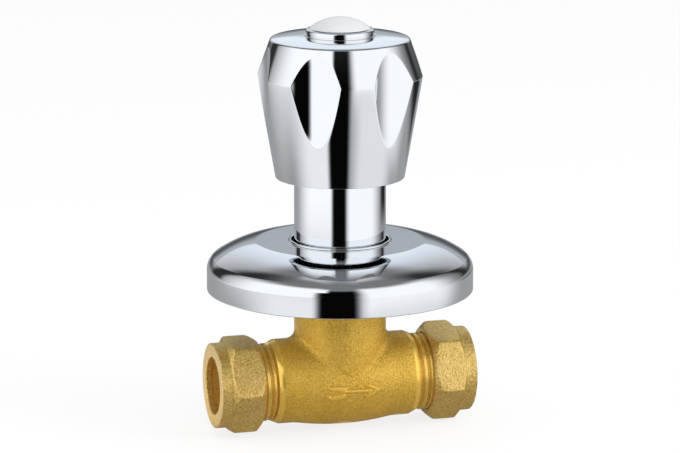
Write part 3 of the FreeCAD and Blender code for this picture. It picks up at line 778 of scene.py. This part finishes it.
# Tent: a mat on the floor and a dome over it that only reflections see, with soft-edged panels painted one over
# the other. A panel is from and to in degrees right of the camera, the softness of those edges, its lowest and
# highest angle above the horizon, their softness, and its brightness
tentLook = {
    "radius": 0.6, "centre": 0.02, "mat": -0.0374, "matHub": 0.004, "matFine": 0.3, "matCoarse": 0.31,
    "domeTop": 89.5, "columns": 360, "fineRows": 75, "coarseRows": 30, "domeRows": 180,
    "room": 0.21, "floor": 0.37, "skirting": -4.0, "skirtingSoft": 4.0,
    "panels": {
        "leftWall": (-106, -20, 63, 10, -15, 48, 10, 26, 1.14),
        "rightWall": (19, 102, 14, 44, -17.5, 49, 3.5, 20, 1.12),
        "leftFloor": (-70, -16, 44, 9, -34, -14.5, 8, 2.5, 0.96),
        "rightFloor": (24, 90, 26, 34, -34, -16, 8, 4, 0.86),
        "underShade": (-200, 200, 1, 1, -89, -38, 1, 6, 0.28),
        "leftBench": (-160, -78, 24, 24, -58, -25, 12, 5, 0.95),
        "cameraGap": (-18.5, 14.5, 9, 8, -36, 37, 8, 12, 0.002),
        "leftHigh": (-80, -11.5, 34, 6, 25, 47, 3, 18, 1.16),
        "backSheet": (155, 207, 52, 56, 14, 50, 4, 17, 0.97),
        "backBand": (141, 219, 20, 20, 9.5, 13.5, 5, 2, 0.47),
        "horizon": (139, 213, 14, 20, -2.6, 6, 1.6, 3.6, 0.1),
        "leftCorner": (-141, -119, 10, 10, -4.8, 62, 4.5, 26, 0.03),
        "rightCorner": (126, 142, 11, 15, -0.5, 60, 3.5, 20, 0.03),
        "ceilingGlow": (140, 221, 20, 17, 67, 79.5, 6, 11, 0.6),
        "sleeveEdge": (121, 150, 18, 15, -12, -8.8, 2.6, 0.8, 0.02),
    },
    "backTint": (-0.07, 0.0, 0.07), "backFrom": 140.0, "backSoft": 30.0,
    "brassBounceTint": (0.0, -0.09, -0.28), "nearReach": 0.075, "nearSoft": 0.03,
}


def softEdge(beyond, softness):
    # 0 to 1, eased, across an edge of that softness
    return eased(beyond / softness + 0.5)


def tentTone(angles, rise):
    # brightness on a grid of heights by angles: floor below the skirting, room above, then the panels in turn
    look = tentLook
    below = softEdge(look["skirting"] - rise, look["skirtingSoft"])[:, None]
    tone = look["room"] + (look["floor"] - look["room"]) * below
    for start, end, softStart, softEnd, low, high, softLow, softHigh, bright in look["panels"].values():
        half = (end - start) / 2
        off = (angles - start - half + 180) % 360 - 180
        across = softEdge(off + half, softStart) * softEdge(half - off, softEnd)
        upright = softEdge(rise - low, softLow) * softEdge(high - rise, softHigh)
        share = upright[:, None] * across
        tone = tone * (1 - share) + bright * share
    return tone


def makeTent():
    # rings of the mat from its hub outwards, then rings of the dome up to its top, each point with its own colour
    look = tentLook
    angles = np.linspace(-180, 180, look["columns"], endpoint=False)
    reach = np.concatenate([np.linspace(look["matHub"], look["matFine"], look["fineRows"]),
                            np.linspace(look["matCoarse"], look["radius"], look["coarseRows"])])
    above = np.linspace(0, look["domeTop"], look["domeRows"])
    rise = np.concatenate([-np.degrees(np.arctan2(look["centre"] - look["mat"], reach)), above])
    tone = tentTone(angles, rise)
    up = np.radians(above)
    distance = np.concatenate([reach, look["radius"] * np.cos(up)])[:, None]
    height = np.concatenate([0 * reach + look["mat"], look["centre"] + look["radius"] * np.sin(up)])[:, None]
    facing = np.radians(angles + studioLook["azimuth"])
    points = np.stack([distance * np.sin(facing), -distance * np.cos(facing), height + 0 * facing], -1)
    # the back leans to blue, and the mat near the brass to its colour, a painted bounce of light off the brass
    back = np.clip((np.abs(angles) - look["backFrom"]) / look["backSoft"], 0, 1)[None, :, None]
    near = np.clip((look["nearReach"] - reach) / look["nearSoft"], 0, 1)
    near = np.concatenate([near, 0 * above])[:, None, None]
    tint = 1 + back * np.array(look["backTint"]) + near * np.array(look["brassBounceTint"])
    colour = np.ones((*tone.shape, 4))
    colour[..., :3] = tone[..., None] * tint
    made, wire = newFinish("tent")
    light = wire.node("ShaderNodeAttribute", {"attribute_name": "tone"}, out="Color")
    glow = wire.node("ShaderNodeEmission", {}, {"Color": light, "Strength": 1.0})
    wire.node("ShaderNodeOutputMaterial", {}, {"Surface": glow})
    made.cycles.emission_sampling = "NONE"
    tent = stageObject("tent", points, gridFaces(*points.shape[:2], False, True), made)
    shade = tent.data.attributes.new("tone", "FLOAT_COLOR", "POINT")
    shade.data.foreach_set("color", colour.reshape(-1).astype(np.float32))
    for ray in ("camera", "diffuse", "transmission", "volume_scatter", "shadow"):
        setattr(tent, "visible_" + ray, False)


def outward(angle, rise):
    # direction from the object at an angle right of the camera and a height, both in degrees
    facing, up = math.radians(studioLook["azimuth"] + angle), math.radians(rise)
    return np.array([math.sin(facing) * math.cos(up), -math.cos(facing) * math.cos(up), math.sin(up)])


# Lamps: angle right of the camera, height in degrees, distance, size, watts and colour
lampLook = {
    "right_box": (68.0, 24.0, 1.0, (0.6, 0.8), 6.5, (1.0, 0.98, 0.95)),
    "left_box": (-72.0, 22.0, 1.0, (0.6, 0.8), 2.6, (1.0, 1.0, 1.0)),
    "front_box": (0.0, 26.0, 1.1, (0.5, 0.5), 2.4, (1.0, 0.99, 0.97)),
}


def makeLamp(name, angle, rise, distance, size, watts, tint):
    # area lamp aimed at the object, not seen in reflections
    lamp = bpy.data.lights.new(name, "AREA")
    lamp.shape = "RECTANGLE"
    lamp.size, lamp.size_y = size
    lamp.energy = watts
    lamp.color = tint
    made = bpy.data.objects.new(name, lamp)
    scene.collection.objects.link(made)
    made.location = outward(angle, rise) * distance
    made.visible_glossy = False
    made.rotation_mode = "QUATERNION"
    made.rotation_quaternion = made.location.to_track_quat("Z", "Y")


def makeCamera():
    # at the photograph's viewing angle, level, on a line through the target
    look = studioLook
    camera = bpy.data.objects.new("camera", bpy.data.cameras.new("camera"))
    scene.collection.objects.link(camera)
    camera.location = np.array(look["target"]) + look["distance"] * outward(0.0, look["elevation"])
    camera.rotation_euler = (math.radians(90 - look["elevation"]), 0.0, math.radians(look["azimuth"]))
    camera.data.lens = look["lens"]
    camera.data.sensor_width = look["sensor"]
    camera.data.clip_start = look["clipStart"]
    scene.camera = camera


makeWorld()
makeFloor()
makeTent()
for name, lamp in lampLook.items():
    makeLamp(name, *lamp)
makeCamera()
scene.view_settings.view_transform = "Standard"
print("studio made")
